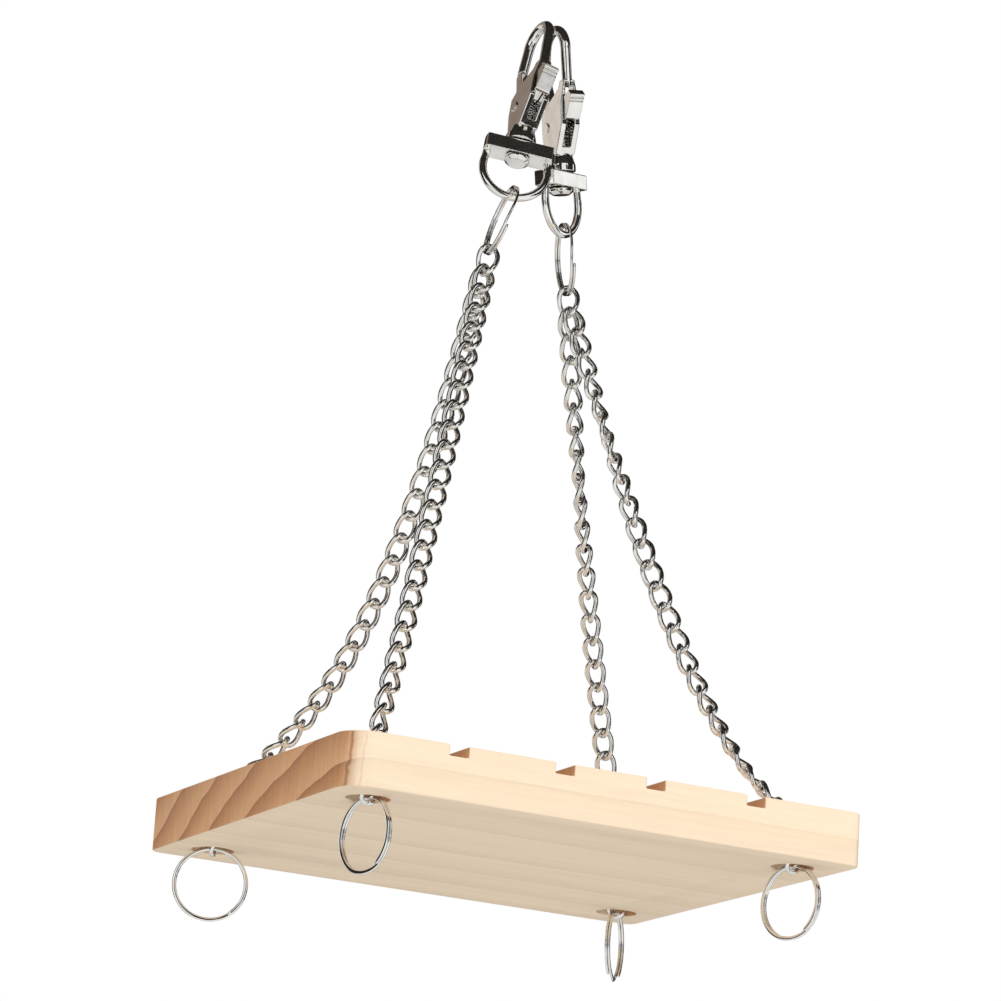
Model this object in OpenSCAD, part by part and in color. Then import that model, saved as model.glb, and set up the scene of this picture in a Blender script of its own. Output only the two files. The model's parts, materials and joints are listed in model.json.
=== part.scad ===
// Hamster swing: a grooved pine platform on four curb chains, hung from two swivel snap hooks.
// The origin is the point on the cage bar where both hooks hang.
// +X runs along the platform, +Y to its back and +Z up. Side -1 is left and 1 is right.
// Depth -1 is the front and 1 is the back.

/* [Platform] */
// Length of the platform, along the grain
platform_l = 150; // [130:1:180]
// Width of the platform
platform_w = 125; // [110:1:150]
// Thickness of the platform
platform_t = 14.5; // [13:0.5:17]
// Radius of the rounded front left corner
corner_r = 8; // [3:0.5:12]
// Radius of the other upright corners
small_corner_r = 3; // [1:0.5:8]
// Distance from the hang point down to the underside
hang_drop = 234.4; // [220:0.2:260]
// Distance of the platform's centre to the right of the hang point
platform_x = 1.5; // [0:0.5:3]
// Width of a foot groove
groove_w = 5.3; // [3:0.1:8]
// Depth of a foot groove
groove_d = 3; // [1:0.5:5]
// Diameter of a chain hole
hole_d = 11.2; // [10.8:0.1:13]
// Distance from the platform's end to the middle of a chain hole
hole_inset_x = 12.7; // [10:0.1:18]
// Distance from the platform's side to the middle of a chain hole
hole_inset_y = 14.2; // [10:0.1:18]

/* [Chain] */
// Wire diameter of a link
link_wire = 1.2; // [1:0.05:1.3]
// Width of a link over its wires
link_w = 6; // [5.6:0.1:6.6]
// Length of a link over its wires
link_l = 9.35; // [9:0.05:10]
// Angle by which each end of a link is twisted
link_twist = 45; // [40:1:50]
// Least gap between the wires of two linked pieces
link_gap = 0.25; // [0.15:0.05:0.4]
// Width of a joining link over its wires
joining_w = 6.4; // [6.2:0.1:6.8]

/* [Split rings] */
// Outside diameter of a split ring
ring_d = 20.5; // [19:0.5:22]
// Thickness of the ring's wire across its circle
ring_wire_w = 1.1; // [0.9:0.1:1.3]
// Thickness of the ring's wire along its axis
ring_wire_t = 0.7; // [0.6:0.1:0.9]
// Gap between the two coils
coil_gap = 0.42; // [0.42:0.01:0.5]
// Height of a lower ring's top, inside its hole
ring_rise = 0.6; // [0:0.1:0.7]

/* [Hook] */
// Distance between the two hooks on the bar
hook_spacing = 4.6; // [4.6:0.1:6]
// Lean of the left hook to the left
lean_side_left = 12; // [10:0.1:13]
// Lean of the right hook to the right
lean_side_right = 9.9; // [8:0.1:12]
// Lean of the left hook to the front
lean_fore_left = 11; // [9:0.1:12]
// Lean of the right hook to the back
lean_fore_right = 6.4; // [5:0.1:8]
// Inside radius of the bow
bow_r = 4.2; // [4:0.1:4.4]
// Thickness of the bow's round bar
bow_t = 2.9; // [2.6:0.1:3]
// Outward lean of the bow's nose
nose_lean = 9; // [7:0.5:10]
// Distance from the gate's pin up to the end of the nose
nose_reach = 15.5; // [15:0.1:16]
// Distance from the seat down to the shoulder of the body
shoulder_drop = 13.5; // [12.5:0.1:14]
// Distance from the hook's middle to the outside of its spine
spine_u = 7.2; // [7:0.1:7.6]
// Thickness of the body across the hook
body_w = 5.8; // [5.4:0.1:6.4]
// Width of the slot that holds the gate
slot_w = 2.6; // [2.5:0.1:2.9]
// Distance from the seat down to the floor of the slot
floor_drop = 32; // [31.5:0.1:32.5]
// Distance from the seat down to the neck
neck_drop = 34; // [33.5:0.1:34.5]
// Distance from the seat down to the foot of the collar
collar_drop = 38.5; // [37.8:0.1:39]
// Radius of the collar
collar_r = 4.3; // [4:0.1:4.5]
// Radius of the swivel stem
stem_r = 1.9; // [1.6:0.1:2.2]
// Radius of the stem's peened head
head_r = 3.5; // [3:0.1:4]
// Thickness of the peened head
head_t = 1.7; // [1.2:0.1:2]

/* [Gate] */
// Distance from the seat down to the gate's pin
pin_drop = 26; // [25.5:0.1:26.5]
// Distance of the gate's pin from the hook's middle, towards the nose
pin_u = 1.8; // [1.5:0.1:2]
// Radius of the gate's pin
pin_r = 0.9; // [0.7:0.05:1]
// Radius of the pin's rivet heads
pin_head_r = 1.5; // [1.3:0.1:1.8]
// Width of the thumb tab
tab_w = 4.4; // [3.6:0.1:5]
// Wire diameter of the gate's spring
spring_wire = 0.4; // [0.3:0.02:0.44]
// Curls of the gate's spring
spring_curls = 7; // [5:1:7]

/* [Swivel eye] */
// Width of the eye over its wire
eye_w = 20.2; // [19.2:0.2:21]
// Wire diameter of the eye
eye_wire = 2.2; // [1.8:0.1:2.4]
// Thickness of the eye's plate
plate_t = 4.2; // [3.4:0.1:4.6]
// Width of the eye's plate
plate_w = 19.4; // [19.2:0.1:20]
// Depth of the eye's plate
plate_depth = 6.2; // [5:0.1:7]
// Height of the plate over the middle of the eye's round bow
eye_rise = 4; // [3.6:0.1:4.4]
// Inward lean of the eye's legs
leg_lean = 8; // [5:0.5:10]

/* [Hidden] */
$fn = 48;

// Middles of the foot grooves along the platform, cut by hand and not quite even
groove_places = [-44.4, -14.1, 12.4, 42.3];
// Clearances: a sprung or turning face, a pin in its bore, a swivel face
face_gap = 0.15;
pin_gap = 0.05;
swivel_gap = 0.3;
// Room for an upper ring to tip in its eye
eye_gap = 0.8;
// Directions in which the left and right upper rings hang from their eyes
ring_pull = [[-0.26, 0.11, -1], [0.17, 0, -1]];
// Compass angles of the upper rings' axes and of the eyes' plates, left and right
upper_ring_turn = [-11, -16];
eye_turn = [-19, 31];
// Compass angles of the lower rings' axes: front left, back left, front right, back right
lower_ring_turn = [12, 63, 17, 140];
// Compass angles of the broad sides of the links that stand in each hole, from the top
tail_turn = [[40, 39], [84, 90], [66, 46], [159, 167]];
// Roll of each chain's last link about its run, from level, and how late in the run it comes
chain_roll = [91.8, -15, -15, -200];
roll_pace = [1, 3, 3, 1];
// Dip of each chain below a straight line between its ends, its push to the lower end, and the
// bend with which a flat chain comes over the rim of its hole
chain_sag = [5.7, 36.9, 21, 10.8];
sag_skew = [0.32, -0.42, 0.19, -0.19];
rim_bend = [0, 30, 40, 0];
// Where the first links of two chains sit in their joining link: half of the distance between
// them, their height over its wire, and their turn from the joining link
fork_half = 0.7;
fork_rise = 0.5;
fork_turn = 22;
// Free height round a split ring's wire in a link's end, and over a chain's tail
ring_seat_gap = 0.45;
tail_gap = 0.2;

// A link's wire path: half length, half width, squareness of the oval, and points round it
link_a = (link_l - link_wire) / 2;
link_b = (link_w - link_wire) / 2;
joining_b = (joining_w - link_wire) / 2;
link_round = 0.8;
link_points = 12;
link_sides = 5;
// Distance from one link to the next, its slack in a chain, and the overlap of two linked wires
link_step = 2 * link_a - link_wire - link_gap;
link_slack = 0.1;
link_lap = link_wire + link_gap;
// Height between a link's end wire and the split ring that it holds
ring_lap = (ring_wire_w + link_wire) / 2 + ring_seat_gap;

// A split ring: radius of its wire's middle, half distance of its coils, points on a turn
ring_mid_r = (ring_d - ring_wire_w) / 2;
coil_half = (ring_wire_t + coil_gap) / 2;
ring_turn_points = 24;
ring_step_half = 30;
// Angle of the wire's step from the lowest point of a lower and of an upper ring
lower_ring_cut = 40;
upper_ring_cut = 100;
tube_sides = 6;

underside = -hang_drop;
deck = underside + platform_t;
ring_top = underside + ring_rise;
tail_foot = ring_top - ring_lap;

// Hook levels below the seat, and outlines across the hook
slot_top = shoulder_drop + 1.7;
taper_drop = shoulder_drop + 6.5;
spine_t = bow_t;
spine_lean = 1;
bow_mid_r = bow_r + bow_t / 2;
cheek_u = 4.6;
cheek_drop = 22.5;
collar_t = 1.8;
neck_r = 3.3;
head_drop = collar_drop + 2 * swivel_gap + plate_t;
plate_drop = collar_drop + swivel_gap;
eye_mid_r = (eye_w - eye_wire) / 2;
eye_arc_drop = plate_drop + plate_t + eye_rise;
eye_seat_drop = eye_arc_drop + eye_mid_r;

// Gate: its tip below the nose, the thumb tab outside the spine, and the spring under its arm
gate_t = slot_w - 2 * face_gap;
gate_reach = nose_reach - 0.3;
tip_w = 2.4;
boss_r = 2.1;
arm_drop = pin_drop - 0.9;
tab_u = spine_u + 0.4;
spring_u = 2.2;
spring_mid_r = gate_t / 2 - spring_wire / 2 - 0.1;
spring_foot = -floor_drop + 0.05 + spring_wire / 2;
spring_head = -arm_drop - 0.05 - spring_wire / 2;
curl_points = 8;

metal = [0.78, 0.77, 0.74];
dark_metal = [0.62, 0.61, 0.59];
pine = [0.93, 0.80, 0.62];

// Vectors and turns
function unit(v) = v / norm(v);
function square_to(v, d) = unit(v - (v * d) * d);
function compass(a) = [cos(a), sin(a), 0];
function turn_x(v, a) = [v.x, v.y * cos(a) - v.z * sin(a), v.y * sin(a) + v.z * cos(a)];
function turn_y(v, a) = [v.x * cos(a) + v.z * sin(a), v.y, v.z * cos(a) - v.x * sin(a)];
function power(x, p) = sign(x) * pow(abs(x), p);
// Place of a side or a corner in the lists above
function side_at(side) = (side + 1) / 2;
function corner_at(side, depth) = side + 1 + (depth + 1) / 2;

// A point on a hook's own axis, as a point of the whole object
function lean_side(side) = side < 0 ? lean_side_left : lean_side_right;
function lean_fore(side) = side < 0 ? lean_fore_left : lean_fore_right;
function hook_axis(side) = turn_y(turn_x([0, 0, 1], side * lean_fore(side)), -side * lean_side(side));
function on_hook_axis(side, drop) = [side * hook_spacing / 2, 0, 0] - drop * hook_axis(side);

// Middles of the chain holes and of the upper rings
function hole_x(side) = platform_x + side * (platform_l / 2 - hole_inset_x);
function hole_y(depth) = depth * (platform_w / 2 - hole_inset_y);
function pull(side) = unit(ring_pull[side_at(side)]);
ring_seat_r = ring_d / 2 - ring_wire_w - eye_wire / 2 - eye_gap;
function upper_ring_middle(side) = on_hook_axis(side, eye_seat_drop) + ring_seat_r * pull(side);
function upper_ring_foot(side) = upper_ring_middle(side) + ring_mid_r * pull(side);

// A joining link hangs halfway between upright and the pull of its ring. Its broad side is turned
// so that the twisted end lies square to the ring's wire.
function joining_down(side) = unit(pull(side) + [0, 0, -1]);
function joining_middle(side) = upper_ring_foot(side) + (link_a - ring_lap) * joining_down(side);
function joining_foot(side) = joining_middle(side) + link_a * joining_down(side);
ring_hold_turn = link_twist * (link_a - ring_lap) / link_a;
function joining_turn(side) = upper_ring_turn[side_at(side)] - ring_hold_turn;

// One ring of section points round p, spread along n and b
function section(p, n, b, rn, rb, sides) =
    [for (k = [0:sides - 1]) p + rn * cos(360 * k / sides) * n + rb * sin(360 * k / sides) * b];

// A closed skin over rings of points, or an open tube with flat ends
module skin(rings, closed) {
    n = len(rings);
    m = len(rings[0]);
    points = [for (ring = rings) each ring];
    sides = [
        for (i = [0:closed ? n - 1 : n - 2], j = [0:m - 1])
        let (k = (i + 1) % n, l = (j + 1) % m)
        each [[i * m + j, k * m + l, i * m + l], [i * m + j, k * m + j, k * m + l]]
    ];
    last = (n - 1) * m;
    ends = closed ? [] : [
        for (j = [1:m - 2]) each [[0, j, j + 1], [last, last + j + 1, last + j]]
    ];
    polyhedron(points, concat(sides, ends), convexity = 8);
}

// One twisted oval link: its middle, the way down the chain, the way of its broad side, and its
// half width
function link_point(mid, down, broad, half, a) =
    let (
        s = -link_a * power(cos(a), link_round),
        q = half * power(sin(a), link_round),
        twist = link_twist * s / link_a
    )
    mid + s * down + q * (cos(twist) * broad + sin(twist) * cross(down, broad));

module chain_link(mid, down, broad, half = link_b) {
    step = 360 / link_points;
    rings = [
        for (i = [0:link_points - 1])
        let (
            p = link_point(mid, down, broad, half, i * step),
            next = link_point(mid, down, broad, half, i * step + 1),
            last = link_point(mid, down, broad, half, i * step - 1),
            along = unit(next - last),
            out = square_to(p - mid, along)
        )
        section(p, out, cross(along, out), link_wire / 2, link_wire / 2, link_sides)
    ];
    skin(rings, true);
}

// A split ring: two flat coils of one wire, which steps from the first to the second between its
// cut ends. The cut is the angle of that step from the ring's lowest point.
function coil_shift(a) = coil_half * (abs(a) > ring_step_half ? sign(a) : sin(90 * a / ring_step_half));

function ring_sections(middle, down, turn, cut) =
    let (
        axis = square_to(compass(turn), down),
        across = cross(down, axis),
        reach = 360 - ring_step_half
    )
    [
        for (a = [-reach:360 / ring_turn_points:reach])
        let (out = cos(a + cut) * down + sin(a + cut) * across)
        section(middle + ring_mid_r * out + coil_shift(a) * axis, out, axis,
            ring_wire_w / 2, ring_wire_t / 2, tube_sides)
    ];

// Least distance between the points of sections that lie more than half a turn apart
function least_gap(rings, apart) =
    min([for (i = [0:len(rings) - 1]) for (j = [i + apart:1:len(rings) - 1])
        min([for (p = rings[i]) for (q = rings[j]) norm(p - q)])]);

// The gate's spring, from the floor of the slot to the gate's arm, in the hook's own frame
spring_rings = [
    for (i = [0:spring_curls * curl_points])
    let (
        a = 360 * i / curl_points,
        z = spring_foot + (spring_head - spring_foot) * i / (spring_curls * curl_points),
        out = [cos(a), sin(a), 0]
    )
    section([spring_u, 0, z] + spring_mid_r * out, out, [0, 0, 1],
        spring_wire / 2, spring_wire / 2, tube_sides)
];

echo(split_ring_gap = least_gap(ring_sections([0, 0, 0], [0, 0, -1], 0, 0), ring_turn_points / 2));
echo(gate_spring_gap = least_gap(spring_rings, curl_points / 2));

// A hook's own frame: X to the spine, Y across the hook and Z up through the swivel
module on_hook(side) {
    translate([side * hook_spacing / 2, 0, 0])
        rotate([side * lean_fore(side), -side * lean_side(side), 0])
            rotate([0, 0, -90])
                children();
}

// A flat outline in the hook's plane, given thickness across the hook
module across_hook(t) {
    rotate([90, 0, 0])
        linear_extrude(t, center = true)
            children();
}

module platform() {
    color(pine)
    difference() {
        translate([platform_x, 0, underside])
            linear_extrude(platform_t)
                platform_outline();
        for (side = [-1, 1], depth = [-1, 1])
            translate([hole_x(side), hole_y(depth), underside - 1])
                cylinder(h = platform_t + 2, d = hole_d);
        for (x = groove_places)
            translate([platform_x + x - groove_w / 2, -platform_w / 2 - 1, deck - groove_d])
                cube([groove_w, platform_w + 2, groove_d + 1]);
    }
}

function corner_radius(side, depth) = side < 0 && depth < 0 ? corner_r : small_corner_r;

// The corner's place on the outline, cut back square to the middle of its rounding
function corner_notch(side, depth) =
    let (
        r = corner_radius(side, depth),
        x = side * platform_l / 2,
        y = depth * platform_w / 2,
        inner = [x - side * r, y - depth * r]
    )
    side == depth ? [[x, inner.y], inner, [inner.x, y]] : [[inner.x, y], inner, [x, inner.y]];

module platform_outline() {
    corners = [[-1, -1], [1, -1], [1, 1], [-1, 1]];
    polygon([for (c = corners) each corner_notch(c.x, c.y)]);
    for (c = corners)
        translate(corner_notch(c.x, c.y)[1])
            circle(corner_radius(c.x, c.y));
}

// The chain's path from its joining link to the top of its tail, and the length along it
function tail_count(side, depth) = len(tail_turn[corner_at(side, depth)]);
function tail_head(side, depth) = tail_foot + (tail_count(side, depth) - 1) * link_step + 2 * link_a;
function chain_head(side, depth) =
    joining_foot(side) + [0, 0, link_lap + fork_rise]
    - depth * fork_half * compass(joining_turn(side) - link_twist);
function chain_foot(side, depth) =
    [hole_x(side), hole_y(depth), tail_head(side, depth) - link_lap - tail_gap];
function chain_path(side, depth, t) =
    let (
        head = chain_head(side, depth),
        foot = chain_foot(side, depth),
        corner = corner_at(side, depth),
        dip = 4 * chain_sag[corner] * t * (1 - t) * (1 + sag_skew[corner] * (2 * t - 1)),
        bend = rim_bend[corner] * pow(t, 12) * (1 - t)
    )
    head + t * (foot - head) + [0, 0, bend - dip];
path_steps = 60;
function path_lengths(side, depth, i = 0, run = 0) =
    i > path_steps ? [] :
    let (
        p = chain_path(side, depth, i / path_steps),
        next = chain_path(side, depth, (i + 1) / path_steps)
    )
    concat([[run, i / path_steps]], path_lengths(side, depth, i + 1, run + norm(next - p)));

// Compass angle of the level line square to a chain, from which the roll of its links is counted
function level_turn(side, depth) =
    let (way = chain_foot(side, depth) - chain_head(side, depth))
    atan2(-way.x, way.y);

module chain_run(side, depth) {
    corner = corner_at(side, depth);
    table = path_lengths(side, depth);
    total = table[path_steps][0];
    count = 1 + ceil((total - 2 * link_a) / (link_step - link_slack));
    step = (total - 2 * link_a) / (count - 1);
    level = compass(level_turn(side, depth));
    from = level_turn(side, depth) - joining_turn(side) - fork_turn;
    to = chain_roll[corner];
    color(metal)
    for (i = [0:count - 1]) {
        top = chain_path(side, depth, lookup(i * step, table));
        end = chain_path(side, depth, lookup(i * step + 2 * link_a, table));
        down = unit(end - top);
        roll = from + (to - from) * pow(i / (count - 1), roll_pace[corner]);
        chain_link((top + end) / 2, down, cos(roll) * level + sin(roll) * cross(down, level));
    }
}

module tail_links(side, depth) {
    turns = tail_turn[corner_at(side, depth)];
    color(metal)
    for (i = [0:len(turns) - 1])
        chain_link(
            [hole_x(side), hole_y(depth), tail_head(side, depth) - link_a - i * link_step],
            [0, 0, -1], compass(turns[i]));
}

module lower_ring(side, depth) {
    color(metal)
    skin(ring_sections(
        [hole_x(side), hole_y(depth), ring_top - ring_mid_r],
        [0, 0, -1], lower_ring_turn[corner_at(side, depth)], lower_ring_cut), false);
}

module upper_ring(side) {
    color(metal)
    skin(ring_sections(
        upper_ring_middle(side), pull(side), upper_ring_turn[side_at(side)], upper_ring_cut), false);
}

module joining_link(side) {
    color(metal)
    chain_link(
        joining_middle(side), joining_down(side),
        square_to(compass(joining_turn(side)), joining_down(side)), joining_b);
}

// Places in the hook's plane: the gate's pin, and where the nose leaves the bow's round and ends
pin_place = [-pin_u, -pin_drop];
nose_way = [-sin(nose_lean), -cos(nose_lean)];
nose_top = [-bow_mid_r * cos(nose_lean), bow_mid_r * sin(nose_lean) - bow_r];
nose_slope = (nose_top - pin_place) * nose_way;
nose_l = -nose_slope - sqrt(pow(nose_slope, 2) + pow(nose_reach, 2) - pow(norm(nose_top - pin_place), 2));
nose_end = nose_top + nose_l * nose_way;

// A round bar from the end of the bow's round down, leaning out from the hook's middle. It is a
// little thinner than the round and is rooted in it.
module limb(top, lean, h) {
    root = 0.3;
    translate([top.x, 0, top.y])
        rotate([0, lean, 0])
            translate([0, 0, -h])
                cylinder(h = h + root, d = bow_t - 0.1);
}

// The bow over the bar, with its nose on one side and the spine on the other
module bow() {
    translate([0, 0, -bow_r])
        rotate([90, 0, 0])
            rotate([0, 0, spine_lean])
                rotate_extrude(angle = 180 - spine_lean - nose_lean)
                    translate([bow_mid_r, 0])
                        circle(d = bow_t);
    difference() {
        limb(nose_top, nose_lean, nose_l + bow_t);
        translate([pin_place.x, 0, pin_place.y])
            rotate([90, 0, 0])
                cylinder(h = 2 * body_w, r = nose_reach, center = true);
    }
    limb([bow_mid_r * cos(spine_lean), bow_mid_r * sin(spine_lean) - bow_r], -spine_lean, slot_top - bow_r);
}

// The two cheeks that carry the gate's pin, tapering to the bow and to the neck
module body_outline() {
    polygon([
        [spine_u - spine_t, -shoulder_drop], [spine_u, -shoulder_drop],
        [spine_u - 0.2, -pin_drop], [neck_r, -neck_drop],
        [-neck_r, -neck_drop], [-cheek_u, -pin_drop - boss_r], [-cheek_u, -cheek_drop],
        [spine_u - spine_t - 0.3, -slot_top - 0.5]
    ]);
}

module body_taper() {
    top = spine_t / 2;
    side = body_w / 2;
    polygon([
        [-top, 1 - shoulder_drop], [top, 1 - shoulder_drop], [side, -taper_drop],
        [side, -neck_drop - 1], [-side, -neck_drop - 1], [-side, -taper_drop]
    ]);
}

module hook_body(side) {
    color(metal)
    on_hook(side)
    difference() {
        union() {
            bow();
            intersection() {
                across_hook(2 * body_w)
                    body_outline();
                rotate([90, 0, 90])
                    linear_extrude(4 * spine_u, center = true)
                        body_taper();
            }
            swivel_stem();
        }
        translate([-2 * spine_u, -slot_w / 2, -floor_drop])
            cube([4 * spine_u, slot_w, floor_drop - slot_top]);
        translate([-pin_u, 0, -pin_drop])
            rotate([90, 0, 0])
                cylinder(h = 2 * body_w, r = pin_r + pin_gap, center = true);
    }
}

// The flared collar, the stem through the eye's plate and its peened head
module swivel_stem() {
    translate([0, 0, -collar_drop])
        cylinder(h = collar_t, r = collar_r);
    translate([0, 0, collar_t - collar_drop])
        cylinder(h = collar_drop - collar_t - neck_drop + 0.5, r1 = collar_r, r2 = neck_r);
    translate([0, 0, -head_drop - head_t / 2])
        cylinder(h = head_drop - collar_drop + 1, r = stem_r);
    translate([0, 0, -head_drop - head_t / 2])
        cylinder(h = head_t / 2, r = head_r);
    translate([0, 0, -head_drop - head_t])
        cylinder(h = head_t / 2, r1 = 0.7 * head_r, r2 = head_r);
}

// The gate's bar up to the nose, its boss on the pin and its arm out through the spine
module gate_outline() {
    way = unit(nose_end - pin_place);
    across = [-way.y, way.x];
    past_nose = pin_place + (nose_reach + 1) * way;
    intersection() {
        polygon([
            pin_place - boss_r * across, past_nose - tip_w / 2 * across,
            past_nose + tip_w / 2 * across, pin_place + boss_r * across
        ]);
        translate(pin_place)
            circle(gate_reach);
    }
    polygon([
        [-pin_u, 1.6 - pin_drop], [spine_u - spine_t, 5.6 - pin_drop], [tab_u, 7.2 - pin_drop],
        [tab_u, 3.2 - pin_drop], [spring_u + 1.5, -arm_drop],
        [-pin_u + 1.8, -arm_drop], [-pin_u, -boss_r - pin_drop]
    ]);
    translate(pin_place)
        circle(boss_r);
}

// The thumb tab: a paddle that stands off the spine, with two grooves at its tip
module tab_outline() {
    tip = [tab_u + 4.4, 7.6 - pin_drop];
    foot = [tab_u + 0.8, 1.4 - pin_drop];
    difference() {
        polygon([
            [tab_u - 0.1, 7.6 - pin_drop], tip + [-1.4, 1.4], tip, foot, [tab_u - 0.1, 1.2 - pin_drop]
        ]);
        for (i = [1:2])
            translate(tip + i * unit(foot - tip))
                circle(0.3);
    }
}

module gate(side) {
    color(dark_metal)
    on_hook(side)
    difference() {
        union() {
            across_hook(gate_t)
                gate_outline();
            across_hook(tab_w)
                tab_outline();
        }
        translate([-pin_u, 0, -pin_drop])
            rotate([90, 0, 0])
                cylinder(h = 2 * body_w, r = pin_r + pin_gap, center = true);
    }
}

module gate_pin(side) {
    head = 0.35;
    color(metal)
    on_hook(side)
    translate([-pin_u, 0, -pin_drop])
    rotate([90, 0, 0]) {
        cylinder(h = body_w + 2 * head, r = pin_r, center = true);
        for (end = [-1, 1])
            translate([0, 0, end * (body_w + head) / 2])
                cylinder(h = head, r = pin_head_r, center = true);
    }
}

module gate_spring(side) {
    color(dark_metal)
    on_hook(side)
    skin(spring_rings, false);
}

// The swivel eye: a plate that turns on the stem, with two legs and a round bow of wire below it.
// The legs are a little thinner than the bow and are rooted in it.
module swivel_eye(side) {
    root = 0.3;
    leg_foot = eye_mid_r * [cos(leg_lean), sin(leg_lean)];
    leg_l = (eye_rise + plate_t / 2 - leg_foot.y) / cos(leg_lean);
    color(metal)
    on_hook(side)
    rotate([0, 0, 90 + eye_turn[side_at(side)]]) {
        difference() {
            translate([0, 0, -plate_drop - plate_t])
            intersection() {
                translate([-plate_w, -plate_depth / 2, 0])
                    cube([2 * plate_w, plate_depth, plate_t]);
                cylinder(h = plate_t, r = plate_w / 2);
            }
            translate([0, 0, -plate_drop - 2 * plate_t])
                cylinder(h = 3 * plate_t, r = stem_r + pin_gap);
        }
        translate([0, 0, -eye_arc_drop]) {
            rotate([90, 0, 0])
                rotate([0, 0, 180 - leg_lean])
                    rotate_extrude(angle = 180 + 2 * leg_lean)
                        translate([eye_mid_r, 0])
                            circle(d = eye_wire);
            for (end = [-1, 1])
                translate([end * leg_foot.x, 0, leg_foot.y])
                    rotate([0, -end * leg_lean, 0])
                        translate([0, 0, -root])
                            cylinder(h = leg_l + root, d = eye_wire - 0.1);
        }
    }
}

platform();
chain_run(-1, -1);  // chain_front_left
chain_run(-1, 1);  // chain_back_left
chain_run(1, -1);  // chain_front_right
chain_run(1, 1);  // chain_back_right
tail_links(-1, -1);  // tail_links_front_left
tail_links(-1, 1);  // tail_links_back_left
tail_links(1, -1);  // tail_links_front_right
tail_links(1, 1);  // tail_links_back_right
lower_ring(-1, -1);  // lower_ring_front_left
lower_ring(-1, 1);  // lower_ring_back_left
lower_ring(1, -1);  // lower_ring_front_right
lower_ring(1, 1);  // lower_ring_back_right
joining_link(-1);  // joining_link_left
joining_link(1);  // joining_link_right
upper_ring(-1);  // upper_ring_left
upper_ring(1);  // upper_ring_right
hook_body(-1);  // hook_body_left
hook_body(1);  // hook_body_right
gate(-1);  // gate_left
gate(1);  // gate_right
gate_pin(-1);  // gate_pin_left
gate_pin(1);  // gate_pin_right
gate_spring(-1);  // gate_spring_left
gate_spring(1);  // gate_spring_right
swivel_eye(-1);  // swivel_eye_left
swivel_eye(1);  // swivel_eye_right
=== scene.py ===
import bmesh
import bpy
import json
from math import atan2, ceil, cos, degrees, pi, radians, sin
from mathutils import Matrix, Vector


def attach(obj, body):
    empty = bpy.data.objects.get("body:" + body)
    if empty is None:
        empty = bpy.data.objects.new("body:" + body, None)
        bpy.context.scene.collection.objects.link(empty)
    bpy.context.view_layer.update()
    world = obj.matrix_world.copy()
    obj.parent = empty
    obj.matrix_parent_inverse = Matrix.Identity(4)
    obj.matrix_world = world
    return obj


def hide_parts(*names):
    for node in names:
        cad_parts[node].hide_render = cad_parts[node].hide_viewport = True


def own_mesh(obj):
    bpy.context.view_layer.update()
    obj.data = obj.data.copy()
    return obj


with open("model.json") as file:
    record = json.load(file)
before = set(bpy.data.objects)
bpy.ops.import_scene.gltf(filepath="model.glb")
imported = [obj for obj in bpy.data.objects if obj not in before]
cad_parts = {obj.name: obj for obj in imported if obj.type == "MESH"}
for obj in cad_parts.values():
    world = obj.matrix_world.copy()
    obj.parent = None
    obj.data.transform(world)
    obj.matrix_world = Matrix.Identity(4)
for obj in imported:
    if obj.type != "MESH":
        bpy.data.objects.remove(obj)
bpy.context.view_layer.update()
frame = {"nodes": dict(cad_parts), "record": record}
body_of = {
    node: body
    for body, nodes in frame["record"]["behaviour"]["bodies"].items()
    for node in nodes
}

# Sizes are in millimetres and angles in degrees. They are the part's own unless a comment says otherwise.
# Tables go by side and depth: -1 is left or front, 1 is right or back.
MM = 0.001
DOWN = Vector((0, 0, -1))
SIDES = {"left": -1, "right": 1}
DEPTHS = {"front": -1, "back": 1}

# Platform and its holes
PLATFORM_LONG = 150
PLATFORM_WIDE = 125
PLATFORM_X = 1.5
UNDERSIDE = -234.4
HOLE_FROM_END = 12.7
HOLE_FROM_SIDE = 14.2
HOLE_X = PLATFORM_LONG / 2 - HOLE_FROM_END
HOLE_Y = PLATFORM_WIDE / 2 - HOLE_FROM_SIDE

# Snap hooks and their eyes
HOOK_SPACING = 4.6
LEAN_SIDE = {-1: 12, 1: 9.9}
LEAN_FORE = {-1: 11, 1: 6.4}
COLLAR_DROP = 38.5
SWIVEL_GAP = 0.3
PLATE_T = 4.2
EYE_RISE = 4
EYE_W = 20.2
EYE_WIRE = 2.2
EYE_GAP = 0.8
EYE_SEAT_DROP = COLLAR_DROP + SWIVEL_GAP + PLATE_T + EYE_RISE + (EYE_W - EYE_WIRE) / 2

# Gate springs and their place in the hook's slot
SPRING_X = 2.2
SPRING_FOOT = -31.75
SPRING_HEAD = -25.35
SPRING_R = 0.85
SPRING_WIRE = 0.4
SPRING_CURLS = 7

# Links. The seen wire is thicker than the part's, so that linked wires all but touch, as in the object.
LINK_LONG = 9.35
LINK_WIDE = 6.0
JOINING_WIDE = 6.4
LINK_WIRE = 1.2
LINK_WIRE_SEEN = 1.38
LINK_TWIST = 45
LINK_ROUND = 0.8
LINK_GAP = 0.25
LINK_SLACK = 0.1
LINK_A = (LINK_LONG - LINK_WIRE) / 2
LINK_B = (LINK_WIDE - LINK_WIRE) / 2
JOINING_B = (JOINING_WIDE - LINK_WIRE) / 2
LINK_LAP = LINK_WIRE + LINK_GAP
LINK_STEP = 2 * LINK_A - LINK_LAP

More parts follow.
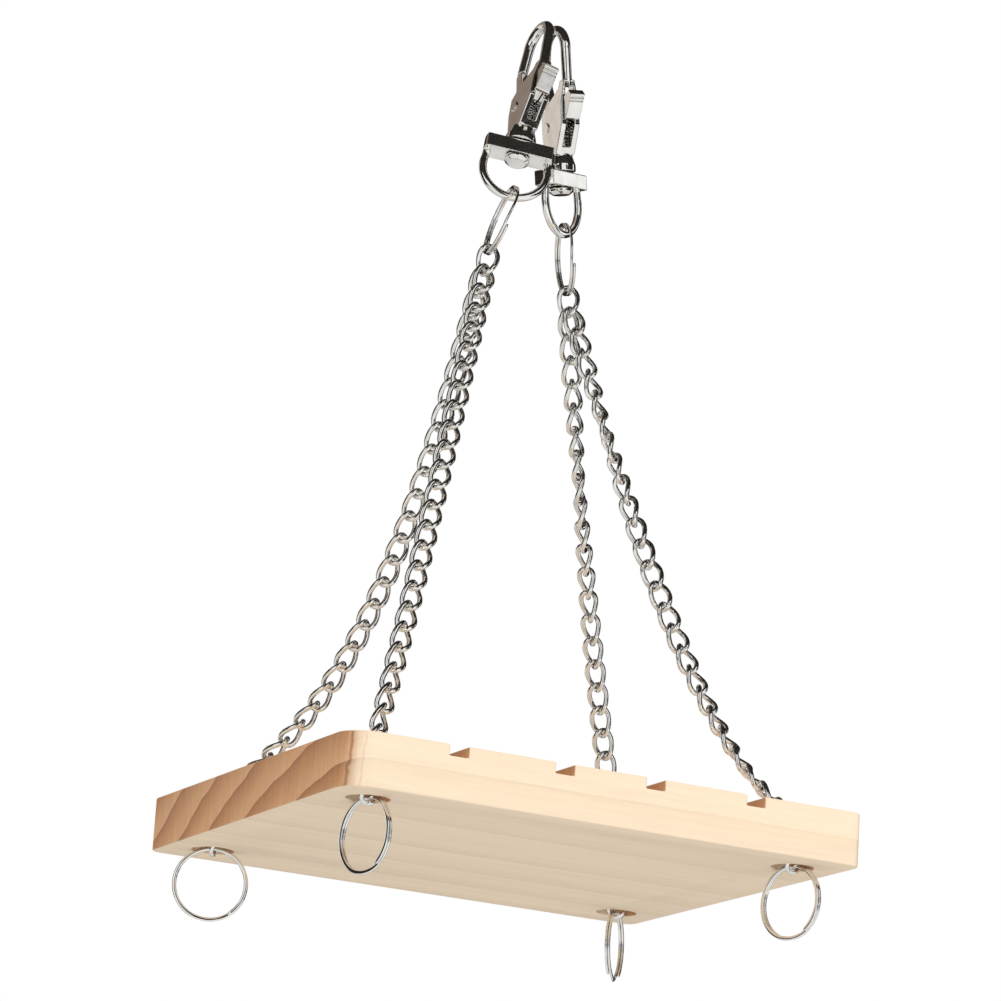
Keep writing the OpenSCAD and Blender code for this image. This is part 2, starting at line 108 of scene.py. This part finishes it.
# Split rings. The coils lie closer together than in the part, and the lower rings' cuts nearer the foot.
RING_D = 20.5
RING_WIRE_W = 1.1
RING_WIRE_T = 0.7
COIL_GAP = 0.1
LOWER_RING_CUT = 5
UPPER_RING_CUT = 100
RING_STEP_HALF = 30
RING_SEAT_GAP = 0.45
RING_MID_R = (RING_D - RING_WIRE_W) / 2
COIL_HALF = (RING_WIRE_T + COIL_GAP) / 2
RING_LAP = (RING_WIRE_W + LINK_WIRE) / 2 + RING_SEAT_GAP
RING_RISE = 0.6
RING_TOP = UNDERSIDE + RING_RISE
RING_PULL = {-1: (-0.26, 0.11, -1), 1: (0.17, 0, -1)}
UPPER_RING_TURN = {-1: -11, 1: -16}
LOWER_RING_TURN = {(-1, -1): 12, (-1, 1): 63, (1, -1): 17, (1, 1): 140}

# Chains. The roll of the links, or its pace, is the scene's own in three of them.
CHAIN_ROLL = {(-1, -1): 91.8, (-1, 1): -15, (1, -1): -375, (1, 1): -200}
ROLL_PACE = {(-1, -1): 4, (-1, 1): 3, (1, -1): 0.7, (1, 1): 0.53}
CHAIN_SAG = {(-1, -1): 5.7, (-1, 1): 36.9, (1, -1): 21, (1, 1): 10.8}
SAG_SKEW = {(-1, -1): 0.32, (-1, 1): -0.42, (1, -1): 0.19, (1, 1): -0.19}
RIM_BEND = {(-1, -1): 0, (-1, 1): 30, (1, -1): 40, (1, 1): 0}
RIM_POWER = 12
FORK_HALF = 0.7
FORK_RISE = 0.5
FORK_TURN = 22
TAIL_TURN = {(-1, -1): (40, 39), (-1, 1): (84, 90), (1, -1): (66, 46), (1, 1): (159, 167)}
TAIL_GAP = 0.2
TAIL_FOOT = RING_TOP - RING_LAP

# Fineness of the drawn wires
LINK_POINTS = 44
LINK_SIDES = 12
RING_POINT_STEP = 3.0
RING_SIDES = 12
RING_SQUARENESS = 0.7
SPRING_POINTS = 20
SPRING_SIDES = 8
CHAIN_PIECES = 60
ROUNDING = 1e-9


# Vectors and places

def compass(angle):
    return Vector((cos(radians(angle)), sin(radians(angle)), 0))


def square_to(v, d):
    return (v - v.dot(d) * d).normalized()


def power(x, p):
    """A power that keeps the sign."""
    return (1 if x > 0 else -1) * abs(x) ** p if x else 0.0


def hook_turn(side):
    lean = Matrix.Rotation(radians(-side * LEAN_SIDE[side]), 3, "Y")
    lean @= Matrix.Rotation(radians(side * LEAN_FORE[side]), 3, "X")
    return lean @ Matrix.Rotation(radians(-90), 3, "Z")


def on_hook(side, point):
    return Vector((side * HOOK_SPACING / 2, 0, 0)) + hook_turn(side) @ Vector(point)


def pull(side):
    return Vector(RING_PULL[side]).normalized()


def upper_ring_middle(side):
    seat = RING_D / 2 - RING_WIRE_W - EYE_WIRE / 2 - EYE_GAP
    return on_hook(side, (0, 0, -EYE_SEAT_DROP)) + seat * pull(side)


def joining_down(side):
    return (pull(side) + DOWN).normalized()


def joining_middle(side):
    ring_foot = upper_ring_middle(side) + RING_MID_R * pull(side)
    return ring_foot + (LINK_A - RING_LAP) * joining_down(side)


def joining_turn(side):
    return UPPER_RING_TURN[side] - LINK_TWIST * (LINK_A - RING_LAP) / LINK_A


def hole(side, depth, z):
    return Vector((PLATFORM_X + side * HOLE_X, depth * HOLE_Y, z))


def tail_head(side, depth):
    return TAIL_FOOT + (len(TAIL_TURN[side, depth]) - 1) * LINK_STEP + 2 * LINK_A


def chain_head(side, depth):
    seat = joining_middle(side) + LINK_A * joining_down(side)
    apart = depth * FORK_HALF * compass(joining_turn(side) - LINK_TWIST)
    return seat - apart + Vector((0, 0, LINK_LAP + FORK_RISE))


def chain_foot(side, depth):
    return hole(side, depth, tail_head(side, depth) - LINK_LAP - TAIL_GAP)


def level_turn(side, depth):
    way = chain_foot(side, depth) - chain_head(side, depth)
    return degrees(atan2(-way.x, way.y))


def chain_point(side, depth, t):
    """The point at a share of the way along a chain's curve."""
    push = 1 + SAG_SKEW[side, depth] * (2 * t - 1)
    dip = 4 * CHAIN_SAG[side, depth] * t * (1 - t) * push
    bend = RIM_BEND[side, depth] * t ** RIM_POWER * (1 - t)
    return chain_head(side, depth).lerp(chain_foot(side, depth), t) + Vector((0, 0, bend - dip))


def roll_share(t, pace):
    """The share of its roll that a chain has taken at a share of its run: late for a pace above 1."""
    return t ** pace if pace > 1 else 1 - (1 - t) ** (1 / pace)


# Meshes

def new_object(name, data):
    obj = bpy.data.objects.new(name, data)
    bpy.context.scene.collection.objects.link(obj)
    return obj


def shade_smooth(mesh):
    mesh.polygons.foreach_set("use_smooth", [True] * len(mesh.polygons))


def smooth_object(name, bm):
    bmesh.ops.recalc_face_normals(bm, faces=bm.faces)
    mesh = bpy.data.meshes.new(name)
    bm.to_mesh(mesh)
    bm.free()
    shade_smooth(mesh)
    return new_object(name, mesh)


def add_tube(bm, rings, closed):
    """Joins rings of points, in millimetres, into a tube; an open one gets flat ends."""
    rows = [[bm.verts.new(p * MM) for p in ring] for ring in rings]
    sides = len(rows[0])
    following = rows[1:] + rows[:1] if closed else rows[1:]
    for near, far in zip(rows, following):
        for j in range(sides):
            k = (j + 1) % sides
            bm.faces.new((near[j], near[k], far[k], far[j]))
    if not closed:
        bm.faces.new(rows[0])
        bm.faces.new(rows[-1])


def wire_section(middle, out, aside, half_out, half_aside, sides, squareness=1.0):
    """Points round a wire: an oval, or squarer for a value below 1."""
    ring = []
    for k in range(sides):
        a = 2 * pi * k / sides
        along_out = half_out * power(cos(a), squareness)
        along_aside = half_aside * power(sin(a), squareness)
        ring.append(middle + along_out * out + along_aside * aside)
    return ring


def add_link(bm, middle, down, broad, half=LINK_B, wire=LINK_WIRE_SEEN):
    """One oval link of round wire, twisted so that its two ends lie across each other."""
    across = down.cross(broad)

    def place(a):
        s = -LINK_A * power(cos(a), LINK_ROUND)
        q = half * power(sin(a), LINK_ROUND)
        twist = radians(LINK_TWIST) * s / LINK_A
        return middle + s * down + q * (cos(twist) * broad + sin(twist) * across)

    near = 0.02
    rings = []
    for i in range(LINK_POINTS):
        a = 2 * pi * (i + 0.5) / LINK_POINTS
        p = place(a)
        along = (place(a + near) - place(a - near)).normalized()
        out = square_to(p - middle, along)
        rings.append(wire_section(p, out, along.cross(out), wire / 2, wire / 2, LINK_SIDES))
    add_tube(bm, rings, True)


def coil_shift(a):
    if abs(a) > RING_STEP_HALF:
        return COIL_HALF * (1 if a > 0 else -1)
    return COIL_HALF * sin(radians(90 * a / RING_STEP_HALF))


def end_fullness(from_end):
    """How full the wire is at an angle from its end, which is rounded."""
    least = 0.6
    rounded = 4.5
    fade = min(1.0, (from_end + least) / rounded)
    return (1 - (1 - fade) ** 2) ** 0.5


def split_ring(name, middle, down, turn, cut):
    """Two coils of flattened wire. The step from one to the other lies at the cut's angle from the foot."""
    axis = square_to(compass(turn), down)
    across = down.cross(axis)
    reach = 360 - RING_STEP_HALF
    count = int(2 * reach / RING_POINT_STEP)
    rings = []
    for i in range(count + 1):
        a = -reach + i * RING_POINT_STEP
        out = cos(radians(a + cut)) * down + sin(radians(a + cut)) * across
        full = end_fullness(min(i, count - i) * RING_POINT_STEP)
        half_w = RING_WIRE_W / 2 * full
        half_t = RING_WIRE_T / 2 * full
        p = middle + RING_MID_R * out + coil_shift(a) * axis
        rings.append(wire_section(p, out, axis, half_w, half_t, RING_SIDES, RING_SQUARENESS))
    bm = bmesh.new()
    add_tube(bm, rings, False)
    return smooth_object(name, bm)


def chain_run(name, side, depth):
    """The links of one chain, evenly spaced along its curve."""
    lengths = [0.0]
    for i in range(CHAIN_PIECES):
        start = chain_point(side, depth, i / CHAIN_PIECES)
        end = chain_point(side, depth, (i + 1) / CHAIN_PIECES)
        lengths.append(lengths[-1] + (end - start).length)
    run_of_tops = lengths[-1] - 2 * LINK_A
    gaps = ceil(run_of_tops / (LINK_STEP - LINK_SLACK))
    pitch = run_of_tops / gaps

    def at(run):
        i = max(k for k in range(CHAIN_PIECES) if lengths[k] <= run + ROUNDING)
        share = (run - lengths[i]) / (lengths[i + 1] - lengths[i])
        return chain_point(side, depth, (i + min(1.0, share)) / CHAIN_PIECES)

    level = compass(level_turn(side, depth))
    first = level_turn(side, depth) - joining_turn(side) - FORK_TURN
    last = CHAIN_ROLL[side, depth]
    bm = bmesh.new()
    for i in range(gaps + 1):
        top = at(i * pitch)
        end = at(i * pitch + 2 * LINK_A)
        down = (end - top).normalized()
        roll = radians(first + (last - first) * roll_share(i / gaps, ROLL_PACE[side, depth]))
        add_link(bm, (top + end) / 2, down, cos(roll) * level + sin(roll) * down.cross(level))
    return smooth_object(name, bm)


def tail_links(name, side, depth):
    """The links in a hole, with the part's own wire, which stays clear of the chain in the sway."""
    bm = bmesh.new()
    for i, turn in enumerate(TAIL_TURN[side, depth]):
        middle = hole(side, depth, tail_head(side, depth) - LINK_A - i * LINK_STEP)
        add_link(bm, middle, DOWN, compass(turn), wire=LINK_WIRE)
    return smooth_object(name, bm)


def joining_link(name, side):
    down = joining_down(side)
    broad = square_to(compass(joining_turn(side)), down)
    bm = bmesh.new()
    add_link(bm, joining_middle(side), down, broad, JOINING_B)
    return smooth_object(name, bm)


def gate_spring(name, side):
    turn = hook_turn(side)
    axis = turn @ Vector((0, 0, 1))
    count = SPRING_CURLS * SPRING_POINTS
    rings = []
    for i in range(count + 1):
        a = 2 * pi * i / SPRING_POINTS
        z = SPRING_FOOT + (SPRING_HEAD - SPRING_FOOT) * i / count
        out = turn @ Vector((cos(a), sin(a), 0))
        p = on_hook(side, (SPRING_X, 0, z)) + SPRING_R * out
        rings.append(wire_section(p, out, axis, SPRING_WIRE / 2, SPRING_WIRE / 2, SPRING_SIDES))
    bm = bmesh.new()
    add_tube(bm, rings, False)
    return smooth_object(name, bm)


def welded_copy(node, name):
    """A copy of the part's node whose faces share their points."""
    same_point = 1e-6
    bm = bmesh.new()
    bm.from_mesh(frame["nodes"][node].data)
    bmesh.ops.remove_doubles(bm, verts=bm.verts, dist=same_point)
    mesh = bpy.data.meshes.new(name)
    bm.to_mesh(mesh)
    bm.free()
    return new_object(name, mesh)


def keep_shape(obj):
    """Turns the modifiers' result into the object's own mesh."""
    graph = bpy.context.evaluated_depsgraph_get()
    mesh = bpy.data.meshes.new_from_object(obj.evaluated_get(graph))
    obj.modifiers.clear()
    obj.data = mesh
    shade_smooth(mesh)
    return obj


def cast_copy(node, name, voxel, rounds):
    """The node with the soft edges of a casting. Voxel is in millimetres."""
    obj = welded_copy(node, name)
    obj.data.transform(Matrix.Scale(1 / MM, 4))
    remesh = obj.modifiers.new("Skin", "REMESH")
    remesh.mode = "VOXEL"
    remesh.voxel_size = voxel
    soft = obj.modifiers.new("Soften", "SMOOTH")
    soft.factor = 0.5
    soft.iterations = rounds
    keep_shape(obj)
    obj.data.transform(Matrix.Scale(MM, 4))
    return obj


def eased_copy(node, name, width):
    """The node with its sharp edges eased. Width is in millimetres."""
    flat_angle = radians(1)
    sharp_angle = radians(40)
    obj = welded_copy(node, name)
    bm = bmesh.new()
    bm.from_mesh(obj.data)
    bmesh.ops.dissolve_limit(bm, angle_limit=flat_angle, verts=bm.verts, edges=bm.edges)
    bm.to_mesh(obj.data)
    bm.free()
    bevel = obj.modifiers.new("Ease", "BEVEL")
    bevel.width = width * MM
    bevel.segments = 3
    bevel.limit_method = "ANGLE"
    bevel.angle_limit = sharp_angle
    bevel.use_clamp_overlap = False
    bevel.harden_normals = True
    shade_smooth(obj.data)
    return keep_shape(obj)


# Steps of a material

def new_material(name):
    material = bpy.data.materials.new(name)
    material.use_nodes = True
    tree = material.node_tree
    return material, tree, tree.nodes["Principled BSDF"]


def put(tree, value, socket):
    """Gives a socket a plain number or the output of another node."""
    if isinstance(value, (int, float)):
        socket.default_value = value
    else:
        tree.links.new(value, socket)


def object_place(tree):
    return tree.nodes.new("ShaderNodeTexCoord").outputs["Object"]


def ramp(tree, value, stops):
    """A colour for a value, from pairs of a value and its colour."""
    node = tree.nodes.new("ShaderNodeValToRGB")
    band = node.color_ramp
    while len(band.elements) < len(stops):
        band.elements.new(0.5)
    for element, (place, colour) in zip(band.elements, stops):
        element.position = place
        element.color = (*colour, 1)
    tree.links.new(value, node.inputs["Fac"])
    return node.outputs["Color"]


def noise(tree, place, scale, detail):
    node = tree.nodes.new("ShaderNodeTexNoise")
    node.inputs["Scale"].default_value = scale
    node.inputs["Detail"].default_value = detail
    tree.links.new(place, node.inputs["Vector"])
    return node.outputs["Fac"]


def reckon(tree, operation, a, b=0):
    """One step of arithmetic on plain numbers or the outputs of other nodes."""
    node = tree.nodes.new("ShaderNodeMath")
    node.operation = operation
    put(tree, a, node.inputs[0])
    put(tree, b, node.inputs[1])
    return node.outputs[0]


def spread(tree, value, low, high):
    """Brings a value between 0 and 1 to another range."""
    node = tree.nodes.new("ShaderNodeMapRange")
    node.inputs["To Min"].default_value = low
    node.inputs["To Max"].default_value = high
    tree.links.new(value, node.inputs["Value"])
    return node.outputs[0]


def rise(tree, value, start, end):
    """Goes softly from 0 to 1 while the value goes from start to end."""
    node = tree.nodes.new("ShaderNodeMapRange")
    node.interpolation_type = "SMOOTHSTEP"
    node.inputs["From Min"].default_value = start
    node.inputs["From Max"].default_value = end
    tree.links.new(value, node.inputs["Value"])
    return node.outputs[0]


def stretched(tree, place, scale):
    node = tree.nodes.new("ShaderNodeMapping")
    node.inputs["Scale"].default_value = scale
    tree.links.new(place, node.inputs["Vector"])
    return node.outputs["Vector"]


def axes_of(tree, vector):
    node = tree.nodes.new("ShaderNodeSeparateXYZ")
    tree.links.new(vector, node.inputs["Vector"])
    return node.outputs


def mixed(tree, blend, share, first, second):
    """Two colours mixed by the share of the second. The node keeps its colour sockets in fixed places."""
    first_place = 6
    second_place = 7
    result_place = 2
    node = tree.nodes.new("ShaderNodeMix")
    node.data_type = "RGBA"
    node.blend_type = blend
    put(tree, share, node.inputs["Factor"])
    tree.links.new(first, node.inputs[first_place])
    tree.links.new(second, node.inputs[second_place])
    return node.outputs[result_place]


def bumps(tree, height, strength, distance):
    node = tree.nodes.new("ShaderNodeBump")
    node.inputs["Strength"].default_value = strength
    node.inputs["Distance"].default_value = distance
    tree.links.new(height, node.inputs["Height"])
    return node.outputs["Normal"]


# Materials

def plated_metal(name, tone, rough, ripple):
    """Bright plating: slight tarnish in the colour, wiped patches in the gloss and faint ripples."""
    material, tree, shader = new_material(name)
    place = object_place(tree)
    stain = noise(tree, place, scale=260, detail=4)
    tint = ramp(tree, stain, [
        (0.3, tuple(0.86 * c for c in tone)),
        (0.6, tone),
        (0.8, tuple(min(1.0, 1.04 * c) for c in tone)),
    ])
    wiped = noise(tree, place, scale=900, detail=2)
    waves = noise(tree, place, scale=420, detail=2)
    shader.inputs["Metallic"].default_value = 1.0
    tree.links.new(tint, shader.inputs["Base Color"])
    tree.links.new(spread(tree, wiped, 0.6 * rough, 1.6 * rough), shader.inputs["Roughness"])
    tree.links.new(bumps(tree, waves, strength=ripple, distance=0.0002), shader.inputs["Normal"])
    return material


def growth_rings(tree, place, drift):
    """The way from one growth ring to the next, from 0 to 1."""
    # The rings lie round a line below and in front of the board, in metres
    line_y = -0.0925
    line_z = -0.434
    spacing = 0.011
    waver = 0.0025
    axes = axes_of(tree, place)
    across = reckon(tree, "ADD", axes["Y"], -line_y)
    up = reckon(tree, "ADD", axes["Z"], -line_z)
    squares = reckon(tree, "ADD", reckon(tree, "POWER", across, 2), reckon(tree, "POWER", up, 2))
    reach = reckon(tree, "POWER", squares, 0.5)
    wavy = reckon(tree, "ADD", reach, spread(tree, drift, -waver, waver))
    return reckon(tree, "FRACT", reckon(tree, "DIVIDE", wavy, spacing))


def side_tone(tree, rings):
    return ramp(tree, rings, [
        (0.0, (0.91, 0.735, 0.545)),
        (0.55, (0.90, 0.725, 0.53)),
        (0.9, (0.865, 0.69, 0.50)),
        (0.97, (0.83, 0.65, 0.46)),
        (1.0, (0.91, 0.735, 0.545)),
    ])


def end_tone(tree, rings):
    return ramp(tree, rings, [
        (0.0, (0.72, 0.40, 0.20)),
        (0.35, (0.66, 0.345, 0.16)),
        (0.85, (0.50, 0.225, 0.092)),
        (0.985, (0.40, 0.165, 0.064)),
        (1.0, (0.72, 0.40, 0.20)),
    ])


def resin_lines(tree, slant):
    """Two darker lines down a rounded corner, where the side turns into the end."""
    return ramp(tree, slant, [
        (0.40, (1, 1, 1)),
        (0.45, (0.90, 0.82, 0.74)),
        (0.50, (1, 1, 1)),
        (0.74, (1, 1, 1)),
        (0.79, (0.58, 0.42, 0.30)),
        (0.84, (1, 1, 1)),
    ])


def saw_lines(tree, place):
    """Fine upright lines, lighter and darker, that the saw left on the ends."""
    upright = stretched(tree, place, (1, 1, 0.05))
    lines = noise(tree, upright, scale=1500, detail=3)
    return spread(tree, lines, -0.22, 0.22)


def pine_wood(name):
    """Growth rings and fine fibres along the board, and brown end grain where it is cut across."""
    material, tree, shader = new_material(name)
    coordinates = tree.nodes.new("ShaderNodeTexCoord").outputs
    place = coordinates["Object"]
    along = stretched(tree, place, (0.06, 1, 1))
    drift = noise(tree, along, scale=45, detail=2)
    fibre = noise(tree, along, scale=900, detail=3)
    streak = noise(tree, along, scale=230, detail=3)

    # How much a face looks along the board, with a ragged change from side to end
    facing = reckon(tree, "ABSOLUTE", axes_of(tree, coordinates["Normal"])["X"])
    slant = reckon(tree, "ADD", facing, spread(tree, streak, -0.08, 0.08))
    cut = rise(tree, slant, start=0.45, end=0.98)

    rings = growth_rings(tree, place, drift)
    grain = mixed(tree, "MIX", cut, side_tone(tree, rings), end_tone(tree, rings))
    fibre_shade = spread(tree, fibre, 0.93, 1.05)
    streak_shade = spread(tree, streak, 0.93, 1.05)
    shade = reckon(tree, "MULTIPLY", fibre_shade, streak_shade)
    shade = reckon(tree, "ADD", shade, reckon(tree, "MULTIPLY", cut, saw_lines(tree, place)))
    worn = mixed(tree, "MULTIPLY", 1.0, grain, shade)
    colour = mixed(tree, "MULTIPLY", 1.0, worn, resin_lines(tree, slant))
    tree.links.new(colour, shader.inputs["Base Color"])
    tree.links.new(spread(tree, streak, 0.5, 0.68), shader.inputs["Roughness"])
    tree.links.new(bumps(tree, fibre, strength=0.25, distance=0.0003), shader.inputs["Normal"])
    return material


def dull_stage(name, colour):
    """A dull surface of almost one colour."""
    material, tree, shader = new_material(name)
    cloud = noise(tree, object_place(tree), scale=3, detail=2)
    tint = ramp(tree, cloud, [(0.0, tuple(0.99 * c for c in colour)), (1.0, colour)])
    tree.links.new(tint, shader.inputs["Base Color"])
    shader.inputs["Roughness"].default_value = 0.9
    return material


# Pieces

nickel = plated_metal("bright_nickel", (0.90, 0.885, 0.86), rough=0.045, ripple=0.05)
cast_nickel = plated_metal("cast_nickel", (0.88, 0.865, 0.84), rough=0.06, ripple=0.10)
spring_steel = plated_metal("spring_steel", (0.60, 0.59, 0.57), rough=0.25, ripple=0.05)
pine = pine_wood("pine")

EASED_EDGE = 0.45
# By kind of casting: end of the piece's name, metal, voxel in millimetres and rounds of softening
CASTINGS = {
    "hook_body": ("_casting", cast_nickel, 0.14, 6),
    "gate": ("_lever", cast_nickel, 0.1, 6),
    "swivel_eye": ("_bow", nickel, 0.14, 5),
    "gate_pin": ("_rivet", nickel, 0.08, 8),
}


def dress(obj, node, material):
    """Puts a drawn piece in the place of one of the part's nodes."""
    obj.data.materials.clear()
    obj.data.materials.append(material)
    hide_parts(node)
    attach(obj, body_of[node])
    return obj


def dress_plated(obj, node, material=nickel):
    return dress(obj, node, material)


def draw_corner(side_name, depth_name):
    """One chain, the links in its hole and the ring below."""
    side = SIDES[side_name]
    depth = DEPTHS[depth_name]
    corner = depth_name + "_" + side_name
    node = "chain_" + corner
    dress_plated(chain_run(node + "_links", side, depth), node)
    node = "tail_links_" + corner
    dress_plated(tail_links(node + "_wire", side, depth), node)
    node = "lower_ring_" + corner
    middle = hole(side, depth, RING_TOP - RING_MID_R)
    turn = LOWER_RING_TURN[side, depth]
    dress_plated(split_ring(node + "_coils", middle, DOWN, turn, LOWER_RING_CUT), node)


def draw_spring(side_name):
    """The gate's spring, coiled in its place in the hook's slot."""
    side = SIDES[side_name]
    node = "gate_spring_" + side_name
    spring = dress(gate_spring(node + "_coil", side), node, spring_steel)
    axis = hook_turn(side) @ Vector((0, 0, 1))
    anchor = on_hook(side, (SPRING_X, 0, SPRING_FOOT - SPRING_WIRE / 2)) * MM
    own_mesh(spring)


def draw_top(side_name):
    """One joining link with its ring and snap hook."""
    side = SIDES[side_name]
    node = "joining_link_" + side_name
    dress_plated(joining_link(node + "_wire", side), node)
    node = "upper_ring_" + side_name
    middle = upper_ring_middle(side)
    turn = UPPER_RING_TURN[side]
    dress_plated(split_ring(node + "_coils", middle, pull(side), turn, UPPER_RING_CUT), node)
    for kind, (ending, metal, voxel, rounds) in CASTINGS.items():
        node = kind + "_" + side_name
        dress_plated(cast_copy(node, node + ending, voxel, rounds), node, metal)
    draw_spring(side_name)


dress(eased_copy("platform", "platform_board", EASED_EDGE), "platform", pine)
for side_name in SIDES:
    for depth_name in DEPTHS:
        draw_corner(side_name, depth_name)
    draw_top(side_name)

# Stage, light and camera, in metres and watts

LAMP_AIM = Vector((0, 0, -0.13))
FLOOR_Z = -0.62
FLOOR_SIZE = 8
# Upright cards span the compass from one angle to another
UPRIGHT_FLAGS = ((2, 36), (36, 68), (68, 98), (128, 160), (160, 190), (-129, -107), (-60, -10))
FLAG_R = 1.6
FLAG_MIDDLE = Vector((0, 0, 0.06))
FLAG_HIGH = 1.36
CEILING_Z = 0.75
CEILING_WIDE = 3.6
LAMP_SIZE = 1.2
# Strength of the white world as light, and as it is seen and mirrored
WORLD_LIGHT = 0.59
WORLD_SEEN = 1.0
# The camera's place, directions and lens come from the platform's corners in the picture
CAMERA_PLACE = (-0.5483, -1.0937, -0.4609)
CAMERA_FORWARD = (0.42986, 0.86556, 0.25696)
CAMERA_RIGHT = (0.88608, -0.45907, 0.06407)
PICTURE_PIXELS = 1001
FOCAL_PIXELS = 4648.09
SENSOR_MM = 36
CAMERA_FAR = 50


def card(name, middle, facing, width, height, material):
    """A flat card that faces a point."""
    bm = bmesh.new()
    bmesh.ops.create_grid(bm, x_segments=1, y_segments=1, size=0.5)
    obj = smooth_object(name, bm)
    obj.data.materials.append(material)
    obj.scale = (width, height, 1)
    obj.location = middle
    obj.rotation_euler = (Vector(facing) - Vector(middle)).to_track_quat("Z", "Y").to_euler()
    return obj


def ceiling_flag(name, y, depth, material):
    return card(name, (0, y, CEILING_Z), (0, y, 0), CEILING_WIDE, depth, material)


def upright_flag(start, end, material):
    half = radians(end - start) / 2
    place = FLAG_R * cos(half) * compass((start + end) / 2) + FLAG_MIDDLE
    return card("flag_" + str(start), place, FLAG_MIDDLE, 2 * FLAG_R * sin(half), FLAG_HIGH, material)


def reflection_flags():
    """Cards round the part and over it, seen only in reflections, give the metal its darker bands."""
    dark = dull_stage("dark_flag", (0.02, 0.016, 0.013))
    brown = dull_stage("brown_flag", (0.42, 0.33, 0.27))
    beige = dull_stage("beige_flag", (0.80, 0.73, 0.66))
    flags = [
        ceiling_flag("flag_above", -0.35, 2.1, dark),
        ceiling_flag("flag_above_back", 1.3, 1.2, brown),
        card("flag_back", (-0.6, 1.45, 0.45), (0, 0, 0.45), 0.9, 0.55, beige),
        card("flag_front", (0.6, -1.48, -0.02), (0, 0, -0.02), 0.46, 0.42, dark),
    ]
    flags += [upright_flag(start, end, dark) for start, end in UPRIGHT_FLAGS]
    for flag in flags:
        flag.visible_camera = False
        flag.visible_diffuse = False
        flag.visible_shadow = False
        flag.visible_transmission = False


def soft_light(name, place, watts):
    """A square lamp that lights the part but isn't mirrored in it."""
    lamp = bpy.data.lights.new(name, "AREA")
    lamp.shape = "SQUARE"
    lamp.size = LAMP_SIZE
    lamp.energy = watts
    obj = new_object(name, lamp)
    obj.location = place
    obj.rotation_euler = (LAMP_AIM - Vector(place)).to_track_quat("-Z", "Y").to_euler()
    obj.visible_glossy = False


def white_world():
    world = bpy.data.worlds.new("studio")
    bpy.context.scene.world = world
    world.use_nodes = True
    tree = world.node_tree
    backdrop = tree.nodes["Background"]
    backdrop.inputs["Color"].default_value = (1, 1, 1, 1)
    ray = tree.nodes.new("ShaderNodeLightPath").outputs
    seen = reckon(tree, "MAXIMUM", ray["Is Camera Ray"], ray["Is Glossy Ray"])
    seen = reckon(tree, "MAXIMUM", seen, ray["Is Transmission Ray"])
    tree.links.new(spread(tree, seen, WORLD_LIGHT, WORLD_SEEN), backdrop.inputs["Strength"])


def picture_camera():
    forward = Vector(CAMERA_FORWARD).normalized()
    right = Vector(CAMERA_RIGHT).normalized()
    turn = Matrix((right, right.cross(forward), -forward)).transposed()
    lens = bpy.data.cameras.new("camera")
    lens.sensor_width = SENSOR_MM
    lens.lens = SENSOR_MM * FOCAL_PIXELS / PICTURE_PIXELS
    lens.clip_end = CAMERA_FAR
    camera = new_object("camera", lens)
    camera.matrix_world = Matrix.Translation(CAMERA_PLACE) @ turn.to_4x4()
    bpy.context.scene.camera = camera


pale = dull_stage("pale_floor", (0.88, 0.88, 0.87))
card("floor", (0, 0, FLOOR_Z), (0, 0, 1), FLOOR_SIZE, FLOOR_SIZE, pale)
reflection_flags()
soft_light("key", (0.5, -1.6, 0.9), watts=24)
soft_light("fill", (-1.5, -0.4, 0.3), watts=5)
white_world()
picture_camera()
bpy.context.scene.view_settings.view_transform = "Standard"
